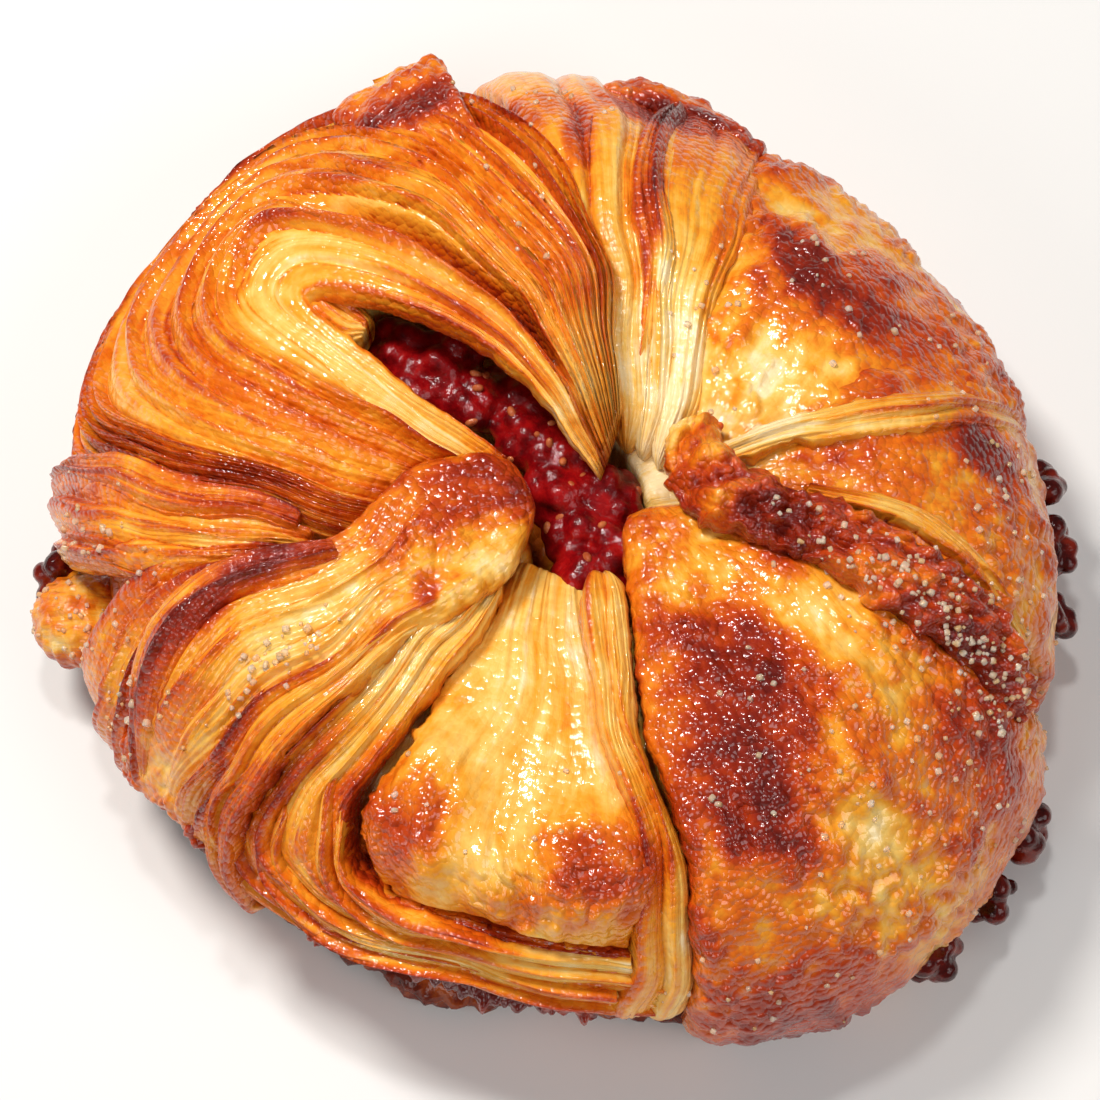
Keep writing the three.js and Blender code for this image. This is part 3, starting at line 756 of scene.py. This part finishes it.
# ---- The dough's folds ----
# Their order sets their seeds. The third number of each point on a line is its lift.
FOLDS = {
    "top_flap": dict(
        place=fan([(-5, 24), (-1, 24)], (119, 104), (-1, 0), [(-1, 4, 6.5), (-1, 5, 9)], 47),
        thick=1.6, relief="leafy", bake=0.46, size=(90, 85), tip=0.1, tail=0.12,
    ),
    "top_pleat_left": dict(
        place=fan([(5, 8), (8.5, 6)], (104, 86), (-3, -2), [(-2, 3, 4), (-2, 1.5, 4)]),
        thick=2.5, relief="wrinkles", width=10, bake=0.29, size=(115, 85), tip=0.08,
    ),
    "top_pleat_middle": dict(
        place=fan([(7, 7), (10, 5.5)], (90, 77), (-1.5, -1), [(-2, 1.5, 2), (-2, 1.5, 2.5)]),
        thick=2.2, width=7, bake=0.28, size=(115, 70), tip=0.08,
    ),
    "top_pleat_right": dict(
        place=fan([(9, 6.5), (12, 4.5)], (81, 64), (0, 1), [(-2, 2, 3.5), (-2, 0.5, 2.5)]),
        thick=2.4, relief="wrinkles", width=9, bake=0.3, size=(115, 85), tip=0.08,
    ),
    "top_right_leaf": dict(
        place=fan([(11.5, 5), (16, 2)], (66, 19), (1.5, -3), [(-3, 0.5, 3.6), (-3, 1, 3.2)]),
        thick=2.6, relief="leafy", bake=0.42, size=(150, 150), tip=0.08,
    ),
    "right_leaf": dict(
        place=fan([(15, 5), (18, -2)], (22, -16), (3, 1), [(-1, 1.5, 1.5), (-1, 2, 1)]),
        thick=2.6, relief="leafy", bake=0.42, size=(135, 120), tip=0.08,
    ),
    "lower_right_leaf": dict(
        place=fan([(7.3, 0.5), (14.5, 2)], (-74, -20), (-2.5, -1.5), [(1, 2.5, 1), (0, 1.5, 1)]),
        thick=3.2, relief="leafy", bake=0.38, size=(180, 184), tip=0.05,
    ),
    "narrow_strip": dict(
        place=ribbon(
            [(3.2, -7, 2), (3.6, -16, 2), (4.8, -24, 2), (6.6, -31, 2), (7, -38, 1.5), (5, -52, 0)],
            [(7.4, -6.5, 2), (8, -15, 1), (8.7, -23.6, 1), (9.8, -30, 1), (12, -38, 1), (15, -52, 0)],
        ),
        thick=2, width=6, bake=0.06, size=(150, 75), tip=0.1, tail=0.05,
    ),
    "pale_tongue": dict(
        place=ribbon(
            [(-3, -4, -3), (-7.5, -14, -1.5), (-13, -24, -0.5), (-18.5, -32, 0.4), (-16.5, -40.5, 0.8)],
            [(4, -6.5, -3), (6, -18, -2), (7.5, -28, 0), (8.5, -36, 0.8), (6.5, -42.5, 1)],
        ),
        thick=2.5, relief="tongue", bake=0.1, size=(155, 126), tip=0.02, tail=0.03, ragged=1.5,
    ),
    "hooked_layers": dict(
        place=ribbon(
            [(-4, -8, 0), (-9, -18, 0.5), (-15, -25.5, 0.5), (-19, -30, 0.5), (-20.5, -35, 0.5),
             (-17, -39.5, 0.5), (-8, -42, 0.5), (3, -42.5, 0), (12, -42, -1)],
            [(-6, -4, 0.5), (-16, -14, 1), (-27, -23, 1), (-35, -29, 0.5), (-37.5, -36, 0.5),
             (-31, -43, 0.5), (-16, -48, 0.5), (2, -50.5, 0.5), (14, -52, -0.5)],
        ),
        thick=2.4, width=17, bake=0.28, size=(210, 104), tip=0.05, tail=0.04,
    ),
    "lower_left_leaf": dict(
        place=ribbon(
            [(-4, 6.3, 2.5), (-13, 2.5, 3), (-21, -3.5, 3), (-31, -8, 2.5), (-41, -15.5, 1.5),
             (-49.5, -23, 0.5)],
            [(-1.6, -5.5, 3), (-8, -12, 3), (-17, -18.5, 2), (-27, -25, 1.5), (-34.5, -30.5, 0.5),
             (-39, -36, -0.5)],
        ),
        thick=2.8, relief="lobed", width=22, bake=0.38, size=(165, 148), tip=0.09,
    ),
    "middle_lip": dict(
        place=ribbon(
            [(-10, -13.5, 3), (-19, -20, 4), (-27, -27.5, 3.6), (-33, -36, 2.6), (-35, -43, 1)],
            [(-12.5, -12.5, 3), (-22, -17, 4), (-31, -24, 3.4), (-37, -33, 2.2), (-40, -40, 0.5)],
        ),
        thick=1.5, width=5, bake=0.34, size=(130, 60), tip=0.2, ragged=0.8,
    ),
    "outer_lip": dict(
        place=ribbon(
            [(-25, -29, 1.4), (-27, -37, 1.6), (-19, -43.5, 1.8), (-7, -46, 2), (6, -47, 1.5)],
            [(-28, -28, 0.8), (-32, -38, 0.6), (-22.5, -47, 0.8), (-7, -49.5, 0.8), (7, -51, 0.5)],
        ),
        thick=1.6, width=5, bake=0.26, size=(150, 60), tip=0.1, ragged=1,
    ),
    "inner_lip": dict(
        place=ribbon(
            [(-18.5, -27, 1), (-20.5, -35, 1.8), (-15.5, -40.5, 2.2), (-5, -43, 2.4), (6.5, -43, 2)],
            [(-21, -25, 0.5), (-24.5, -36, 1), (-18, -44.5, 1.4), (-5, -47.5, 1.4), (7.5, -47, 1)],
        ),
        thick=1.6, width=5, bake=0.14, size=(150, 60), tip=0.1, ragged=1.1,
    ),
    "left_leaf": dict(
        place=ribbon(
            [(-22, -2, 0), (-30, 0, 1.5), (-38, 3, 2), (-45, 7, 2.5), (-55, 11.5, 2.5)],
            [(-25, -6, 0), (-31, -6.5, 1), (-38, -6, 1), (-45, -4, 1.5), (-55, -1, 1.5)],
        ),
        thick=2, width=10, bake=0.32, size=(115, 90), tip=0.05, tail=0.1,
    ),
    "left_under_leaf": dict(
        place=ribbon(
            [(-24, -4, 0), (-33, -3.5, 0.5), (-41, -4, 0.5), (-48, -8, 1), (-56, -13, 0.5)],
            [(-25, -8, 0), (-35, -12, 0), (-43, -18, 0), (-49, -26, -0.5), (-53, -30, -1)],
        ),
        thick=2.2, width=12, bake=0.36, size=(105, 85), tip=0.05,
    ),
    "rim_band": dict(
        place=wrap(-150, -80, (46, 42), (55, 54), (-0.5, 0)),
        thick=2, relief="crusty", bake=0.8, size=(170, 50), ragged=0.7,
    ),
}

ROLLS = {
    "burnt_ridge": dict(
        line=[(13.4, 8.5, 1.5), (14.8, 3.5, 3.5), (19, -1.5, 4.5), (26, -5, 5), (33.4, -8.8, 5),
              (38.7, -12.6, 4.5), (43, -17.5, 3)],
        width=7.5, thick=2.2, relief="crusty", bake=0.52, size=(190, 90), ragged=1,
    ),
    "left_roll": dict(
        line=[(-20.5, -5, 4), (-26.3, -6.9, 4.8), (-31, -9.2, 4.6), (-35.5, -12.8, 4),
              (-41, -19, 2.5), (-46, -27, 0.5)],
        width=4.6, thick=1.9, bake=0.42, size=(135, 55),
    ),
    "left_curl": dict(
        line=[(-24, -1.5, 2), (-33, 1, 3), (-42, 5.2, 3.5), (-53, 10, 3)],
        width=4.2, thick=1.6, bake=0.36, size=(120, 55), tail=0.06,
    ),
    "right_edge": dict(
        line=[(15, 4.5, 1), (23.5, 7.6, 2.5), (33, 9.8, 3), (42, 12.3, 3), (52, 16, 2)],
        width=4.2, thick=1.4, bake=0.2, size=(120, 55), tail=0.05, ragged=1,
    ),
    "right_under_edge": dict(
        line=[(24, 0.8, 3), (32.2, -1.1, 3.3), (38.6, -5.4, 3.2), (45.5, -10, 2)],
        width=2.6, thick=1, bake=0.3, size=(105, 40), ragged=1,
    ),
    "top_roll_left": dict(
        line=[(3.4, 47, 3.6), (2.8, 40, 3.6), (2.4, 33, 3), (3.6, 24, 0.5)],
        width=3.4, thick=1.6, bake=0.42, size=(105, 45),
    ),
    "top_roll_right": dict(
        line=[(12, 48, 3.6), (10, 40, 3.4), (9.4, 32, 3), (9.8, 24, 2), (8.6, 15, -1)],
        width=4, thick=1.6, bake=0.38, size=(120, 45),
    ),
    "top_right_flap": dict(
        line=[(4.5, 47.5, 4.4), (10, 48, 5), (16, 46.5, 4.4), (22, 43.5, 3)],
        width=6, thick=1.4, relief="leafy", bake=0.5, size=(105, 55),
    ),
    "hairpin_heart": dict(
        line=[(-27, 21.5, 0.5), (-22.5, 20, 1.2), (-18, 17.2, 0)],
        width=5.5, thick=2, bake=0.22, size=(85, 55),
    ),
}


# The length that a pleat's wrinkles are made for.
PLEAT_LENGTH = 36


def relief_of(shape, seed):
    """The relief(u, v, x, y) that a shape names, or strands if it names none."""
    bake, width = shape["bake"], shape.get("width")
    bundle, depth = (2.4, 0.8) if "line" in shape else (3.6, 1.5)
    return {
        "leafy": lambda u, v, x, y: leafy(x, y, seed, bake),
        "crusty": lambda u, v, x, y: crusty(x, y, seed, bake),
        "wrinkles": lambda u, v, x, y: wrinkles(u, v, width, PLEAT_LENGTH, seed, bake),
        "tongue": lambda u, v, x, y: tongue(u, v, x, y, seed, bake),
        "lobed": lambda u, v, x, y: lobed(u, v, x, y, width, seed, bake),
        "strands": lambda u, v, x, y: strands(u, v, width, seed, bake, bundle, 0.65, depth),
    }[shape.get("relief", "strands")]


dough_pieces = []
for number, (name, shape) in enumerate((FOLDS | ROLLS).items()):
    a_roll = "line" in shape
    dough_pieces.append(fold(
        name, roll(shape["line"], shape["width"]) if a_roll else shape["place"],
        relief_of(shape, 11 + 7 * number), shape["thick"], shape["size"],
        edge=2 if a_roll else 3, tip=shape.get("tip", 0), tail=shape.get("tail", 0),
        ragged=shape.get("ragged", 0.5), seed=number + 1,
    ))
dough_pieces.append(fold(
    "swirl", swirl(), lambda u, v, x, y: swirl_relief(u, v, 211),
    thick=2.4, size=(200, 335), ragged=0.4, seed=21,
))


# ---- The core ----
SLOT_LINE = [(-17.2, 16.8), (-12.5, 15.1), (-7, 13.2), (-2, 9.5), (1.8, 4), (3.4, -1.5), (3.2, -6.5)]
SLOT_HALF_WIDTH = 4.6
SLOT_DEPTH = 12
# How far the core lies below the skin, and how thick the sheets at its side are.
CORE_INSET = 1.5
SHEET_PITCH = 1.3


def slot_distance(x, y):
    """How far points lie from the middle line of the slot."""
    line = through(SLOT_LINE, np.linspace(0, 1, 60))
    return np.min(np.hypot(x[..., None] - line[:, 0], y[..., None] - line[:, 1]), axis=-1)


def core(rings=84, around=180):
    """The dough under the folds, with a pit where the filling lies."""
    run = np.linspace(0, 1, rings)[:, None] * SKIN_LENGTH
    x, y = polar(np.arange(around)[None, :] * 360 / around, run)
    inside = smooth(SLOT_HALF_WIDTH + 1.5, SLOT_HALF_WIDTH - 1, slot_distance(x, y))
    rough = 1.6 * (fractal(x / 2.4, y / 2.4, 3, 3) - 0.5)
    # The sides show the dough's sheets, edge on and browned.
    side = smooth(38, 46, run)
    across = run / SHEET_PITCH + 2.4 * fractal(x / 9, y / 9, 12, 3)
    angle = np.arctan2(y, x)
    sheets = shingle(across % 1, 0.3) * noise(np.floor(across) * 3.7, angle * 3, 5)
    points = on_skin(x, y, rough + 1.5 * side * sheets - CORE_INSET - SLOT_DEPTH * inside)
    browned = 0.16 + side * (0.2 + 0.3 * sheets) + place_browning(points)
    faces = grid_faces(rings, around, True)
    faces.append(list(range((rings - 1) * around, rings * around)))
    return mesh(
        "core", points, faces, DOUGH, "baked_dough", "dough",
        bake=np.clip(browned, 0, 1).ravel(), grain=grain_of(run, angle * 30),
    )


dough_pieces.append(core())


# ---- Lumps ----
def sphere(detail):
    """Points and faces of a round ball of triangles."""
    ball = bmesh.new()
    bmesh.ops.create_icosphere(ball, subdivisions=detail, radius=1)
    points = np.array([vertex.co[:] for vertex in ball.verts])
    faces = [[vertex.index for vertex in face.verts] for face in ball.faces]
    ball.free()
    return points, faces


def joined(lumps):
    """One list of points and one of faces from many (points, faces)."""
    points, faces, start = [], [], 0
    for some_points, some_faces in lumps:
        points.append(some_points)
        faces += [[index + start for index in face] for face in some_faces]
        start += len(some_points)
    return np.concatenate(points), faces


def fuse(piece, voxel, softened):
    """Melts a piece's lumps into one skin, softened in a few steps."""
    remesh = piece.modifiers.new("melt", "REMESH")
    remesh.mode = "VOXEL"
    remesh.voxel_size = voxel * MM
    remesh.use_smooth_shade = True
    soften = piece.modifiers.new("soften", "SMOOTH")
    soften.iterations = softened
    with bpy.context.temp_override(object=piece, active_object=piece):
        bpy.ops.object.modifier_apply(modifier=remesh.name)
        bpy.ops.object.modifier_apply(modifier=soften.name)


def random_turn(rng):
    """A matrix that turns a shape at random."""
    return np.array(Vector(rng.normal(size=3)).to_track_quat("Z", "Y").to_matrix())


# ---- Filling ----
BERRIES = 22
DRUPELETS = 20
DRUPELETS_PER_SEED = 4
# How high the berries' middles lie, and how far they scatter each way.
BERRY_HEIGHT = 26.6
BERRY_SCATTER = np.array([2.4, 2.4, 1])
# The half width and half length of a seed.
SEED_SIZE = (0.42, 0.42, 0.7)


def berries():
    """Crushed raspberries along the slot. Gives each seed's place."""
    rng = np.random.default_rng(5)
    ball, faces = sphere(2)
    lumps, seeds = [], []
    for t in np.linspace(0.02, 0.98, BERRIES):
        middle = np.array([*through(SLOT_LINE, t), BERRY_HEIGHT])
        centre = middle + rng.uniform(-BERRY_SCATTER, BERRY_SCATTER)
        reach = rng.uniform(2.4, 3.2)
        lumps.append((ball * reach + centre, faces))
        for k in range(DRUPELETS):
            direction = rng.normal(size=3)
            direction[2] = abs(direction[2]) * 0.8
            direction /= np.linalg.norm(direction)
            size = rng.uniform(0.9, 1.9)
            lumps.append((ball * size + centre + direction * (reach - 0.4), faces))
            if k % DRUPELETS_PER_SEED == 0:
                seeds.append(centre + direction * (reach + size * 0.85 - 0.4))
    piece = mesh("berries", *joined(lumps), JAM, "jam", "filling")
    fuse(piece, voxel=0.33, softened=4)
    return seeds


def berry_seeds(places):
    """Seeds at the given places, turned at random."""
    rng = np.random.default_rng(6)
    ball, faces = sphere(2)
    lumps = [((ball * SEED_SIZE) @ random_turn(rng).T + place, faces) for place in places]
    mesh("berry_seeds", *joined(lumps), SEED, "jam", None)


berry_seeds(berries())


# ---- Leaks, nub and caramel ----
BEADS = 16
# How far a bead's middle lies under the skin of its lump.
BEAD_SUNK = 0.1


def burnt_lump(centres, seed):
    """A knobbly lump of little burnt beads over each (centre, half size)."""
    rng = np.random.default_rng(seed)
    ball, faces = sphere(2)
    lumps = []
    for centre, size in centres:
        centre, size = np.array(centre), np.array(size)
        lumps.append((ball * size * 0.85 + centre, faces))
        for _ in range(BEADS):
            direction = rng.normal(size=3)
            direction /= np.linalg.norm(direction)
            bead = rng.uniform(0.8, 1.6)
            lumps.append((ball * bead + centre + direction * (size - BEAD_SUNK), faces))
    return joined(lumps)


# The lumps of each leak: (middle, half size).
LEAKS = {
    "leak_right_upper": [((50.2, 10.6, 10), (2.2, 2.1, 2.2))],
    "leak_right_middle": [((50.7, 3, 10), (2.4, 3.4, 3.4)), ((50.6, 5.6, 9), (1.8, 1.9, 2))],
    "leak_right_lower": [((50.7, -3.4, 9), (2.2, 2.1, 2.2))],
    "leak_lower_right_upper": [((46.8, -24.8, 7), (2.6, 3, 3))],
    "leak_lower_right_middle": [((43.1, -31.3, 6.6), (2.7, 2.8, 2.6))],
    "leak_lower_right_lower": [((37.2, -37.8, 6.4), (3, 2.4, 2.4))],
    "leak_left": [((-50, 0.8, 9), (3, 3.2, 3.2)), ((-51, -2.4, 7), (2, 2.6, 2.6))],
}
for number, (name, centres) in enumerate(LEAKS.items()):
    lump = burnt_lump(centres, 50 + number)
    beads = mesh(name + "_beads", *lump, BURNT, "burnt_jam", name)
    fuse(beads, voxel=0.32, softened=2)


# How far the caramel lies inside the outline, and where and how far it tucks in more.
CARAMEL_INSET = 2.4
CARAMEL_TUCK = 277
TUCK_DEPTH = 3.4


def caramel_rim(around=500, profile=22):
    """The caramel's bubbled edge, closed under the dough."""
    angle = np.linspace(0, 2 * math.pi, around, endpoint=False)[:, None]
    tucked = TUCK_DEPTH * np.exp(-(((np.degrees(angle) - CARAMEL_TUCK) / 26) ** 2))
    t = np.linspace(0, 1, profile)[None, :]
    ragged = fractal(3 * np.cos(angle) + 5, 3 * np.sin(angle) + 5, 8, 4)
    height = (BASE_THICKNESS * 1.5 + 4 * (ragged - 0.4)) * t
    bulge = np.sin(math.pi * t**0.7) * 1.6 - 5 * smooth(0.7, 1, t)
    arc = angle * DOUGH_RADIUS + 0 * t
    big = domes(arc / 2.6, (height + 3) / 2.2, 1, 3, 0.8)
    small = domes(arc, height + 3, 1.1, 4, 0.8)
    radius = (DOUGH_RADIUS - CARAMEL_INSET) * outline_share(angle) + 8 * (ragged - 0.5) - tucked
    radius = radius + bulge + smooth(0, 0.2, t) * (1.3 * big + 0.5 * small)
    points = np.stack([radius * np.cos(angle), radius * np.sin(angle), height + 0 * angle], -1)
    faces = grid_faces(around, profile, False)
    last = (around - 1) * profile
    faces += [[last + k, last + k + 1, k + 1, k] for k in range(profile - 1)]
    faces.append([j * profile for j in range(around)])
    faces.append([j * profile + profile - 1 for j in range(around)][::-1])
    mesh("caramel_rim", points, faces, CARAMEL, "caramel", "caramel_base")


caramel_rim()


NUB_HALF_SIZE = (5.4, 5, 4.6)
NUB_CENTRE = (-48, -4, 10)


def nub():
    """The small golden lump at the dough's left edge."""
    ball, faces = sphere(5)
    x, y, z = ball.T
    rough = 0.9 + 0.12 * fractal(3 * x + 5, 3 * y + 3 * z, 9, 4)
    rough += 0.1 * np.exp(-4 * cells(4 * x + z, 4 * y - z, 7) ** 2)
    points = ball * rough[:, None] * NUB_HALF_SIZE + NUB_CENTRE
    browned = 0.2 + 0.6 * fractal(2 * x, 2 * y + z, 12, 3) - 0.25 * z
    return mesh(
        "nub", points, faces, DOUGH, "baked_dough", "dough",
        bake=np.clip(browned, 0, 1), grain=points,
    )


dough_pieces.append(nub())


# ---- Sugar crystals ----
# Where they lie: (x, y, half length, half width, direction in degrees, how many).
SUGAR_PLACES = [
    (16, 19, 7, 4, 75, 16), (27, 24, 9, 4, -45, 14), (38, 17, 7, 6, -40, 12),
    (28, -8.5, 7, 2.6, -40, 40), (37, -12, 7, 2.6, -40, 90), (44, -14, 4, 6, -20, 60),
    (38, -24, 8, 10, -50, 50), (20, -20, 8, 8, -60, 12), (30, -35, 9, 6, -30, 22),
    (22, -46, 10, 3, 0, 16), (45, 2, 4, 8, 0, 30), (-27, -17, 5, 1.6, 35, 45),
    (-42, -18, 4, 6, -35, 30), (-4, 30, 4, 8, 0, 8), (-2, 46, 6, 3, 0, 14), (-15, -31, 6, 5, 20, 5),
    (3, -33, 5, 5, 20, 6), (-48, -4, 6, 5, 0, 60),
]


# The highest skin is looked for in squares: their side, and how many lie side by side.
SUGAR_SQUARE = 0.7
SQUARES = 200
# Least and greatest half size of a crystal.
CRYSTAL_SIZES = (0.13, 0.34)


def vertex_values(piece, key):
    """One row of three numbers for each point of a piece."""
    values = np.empty(len(piece.data.vertices) * 3)
    piece.data.vertices.foreach_get(key, values)
    return values.reshape(-1, 3)


def open_skin(pieces):
    """Points and normals of the skin that is seen from above, and how many points share
    each one's square."""
    places = np.concatenate([vertex_values(piece, "co") for piece in pieces])
    places = (places - (*BUN_AXIS, 0)) / MM
    normals = np.concatenate([vertex_values(piece, "normal") for piece in pieces])
    column, row = np.floor(places[:, :2] / SUGAR_SQUARE).astype(int).T + SQUARES // 2
    square = column * SQUARES + row
    highest = np.zeros(SQUARES**2)
    np.maximum.at(highest, square, places[:, 2])
    seen = (normals[:, 2] > 0.05) & (places[:, 2] > highest[square] - 0.4)
    crowd = np.bincount(square[seen])[square[seen]]
    return places[seen], normals[seen], crowd


def sugar(pieces):
    """Crystals stuck on the given pieces' skins, as one piece."""
    rng = np.random.default_rng(8)
    places, normals, crowd = open_skin(pieces)
    ball, faces = sphere(2)
    crystal = np.sign(ball) * np.abs(ball) ** 0.45
    lumps = []
    for x, y, length, width, direction, count in SUGAR_PLACES:
        far = ellipse(places[:, 0] - x, places[:, 1] - y, length, width, direction)
        chance = np.exp(-far) / crowd
        for index in rng.choice(len(places), count, p=chance / chance.sum()):
            size = rng.uniform(*CRYSTAL_SIZES) * rng.uniform(0.75, 1.25, 3)
            shape = (crystal * size) @ random_turn(rng).T
            lumps.append((shape + places[index] + normals[index] * size.min() * 0.1, faces))
    mesh("sugar_crystals", *joined(lumps), SUGAR, "baked_dough", None)


sugar(dough_pieces)


# ---- Floor, light and camera ----
# What the lamps face. Places and sizes here are in metres.
MIDDLE = Vector((0, 0, 0.02))
LAMPS = {
    "key": dict(location=(-0.2, 0.17, 0.46), size=0.13, power=2.25, colour=(1, 0.97, 0.93)),
    "glint": dict(location=(-0.02, 0.12, 0.52), size=0.05, power=0.6),
    "fill": dict(location=(0.4, -0.25, 0.45), size=0.4, power=1.2, colour=(0.98, 0.98, 1)),
    "front": dict(location=(-0.3, -0.4, 0.35), size=0.3, power=0.85),
}
WORLD_STRENGTH = 0.14
CAMERA_ELEVATION = math.radians(70)
# The picture's width at the bun, and what the camera faces.
FRAME_WIDTH = 0.110
CAMERA_TARGET = Vector((BUN_AXIS[0] - 0.0005, BUN_AXIS[1], 0.020))


def stage():
    """The plain pale floor."""
    bpy.ops.mesh.primitive_plane_add(size=6, location=(0, 0, 0))
    floor = bpy.context.object
    floor.name = "floor"
    made, _, shader = new_material("pale floor")
    fill_in(shader, {"Base Color": (0.78, 0.77, 0.75, 1), "Roughness": 0.7})
    floor.data.materials.append(made)


def put(name, data, location, target):
    """Place a lamp or camera so that it faces the target."""
    made = bpy.data.objects.new(name, data)
    made.location = location
    made.rotation_euler = (target - made.location).to_track_quat("-Z", "Y").to_euler()
    bpy.context.collection.objects.link(made)
    return made


def lamp(name, location, size, power, colour=(1, 1, 1)):
    data = bpy.data.lights.new(name, "AREA")
    data.shape = "DISK"
    data.size = size
    data.energy = power
    data.color = colour
    put(name, data, location, MIDDLE)


def world():
    made = bpy.data.worlds.new("soft light")
    made.use_nodes = True
    background = made.node_tree.nodes["Background"]
    fill_in(background, {"Color": (1, 1, 1, 1), "Strength": WORLD_STRENGTH})
    bpy.context.scene.world = made


def camera():
    data = bpy.data.cameras.new("camera")
    data.lens = 100
    data.sensor_width = 36
    data.clip_start = 0.01
    distance = FRAME_WIDTH * data.lens / data.sensor_width
    away = Vector((0, -math.cos(CAMERA_ELEVATION), math.sin(CAMERA_ELEVATION)))
    eye = put("camera", data, CAMERA_TARGET + distance * away, CAMERA_TARGET)
    bpy.context.scene.camera = eye


stage()
for name, settings in LAMPS.items():
    lamp(name, **settings)
world()
bpy.context.scene.view_settings.view_transform = "Standard"
camera()
